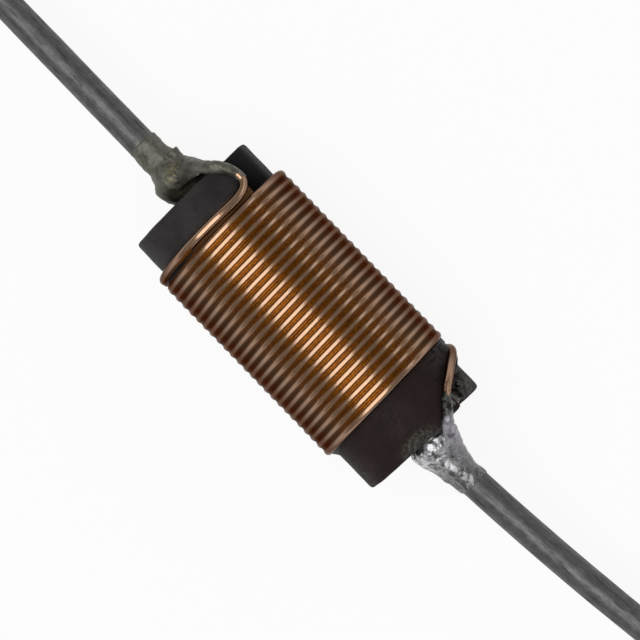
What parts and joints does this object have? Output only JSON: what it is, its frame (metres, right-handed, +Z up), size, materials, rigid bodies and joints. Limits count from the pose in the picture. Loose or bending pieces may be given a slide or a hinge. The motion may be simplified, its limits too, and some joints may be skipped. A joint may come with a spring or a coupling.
{
  "type": "axial inductor",
  "caption": "Axial leaded inductor: slotted ferrite rod with one layer of enamelled wire, soldered to stiff tinned leads that bend down to the bench.",
  "frame": {"origin": "on the surface that the part lies on, under the middle of the ferrite rod", "axes": "+X along the rod towards the soldered end with the larger free stretch of rod, +Z up from the surface"},
  "size_m": [0.0522, 0.0054, 0.0054],
  "materials": {
    "ferrite": "matte",
    "enamelled_wire": "glossy",
    "tinned_lead": "satin",
    "solder": "glossy",
    "cement": "matte"
  },
  "bodies": {
    "root": {"ferrite_core": "ferrite", "winding": "enamelled_wire", "lead_left": "tinned_lead", "lead_right": "tinned_lead", "solder_left": "solder", "solder_right": "solder", "cement_left": "cement", "cement_right": "cement"}
  },
  "joints": []
}
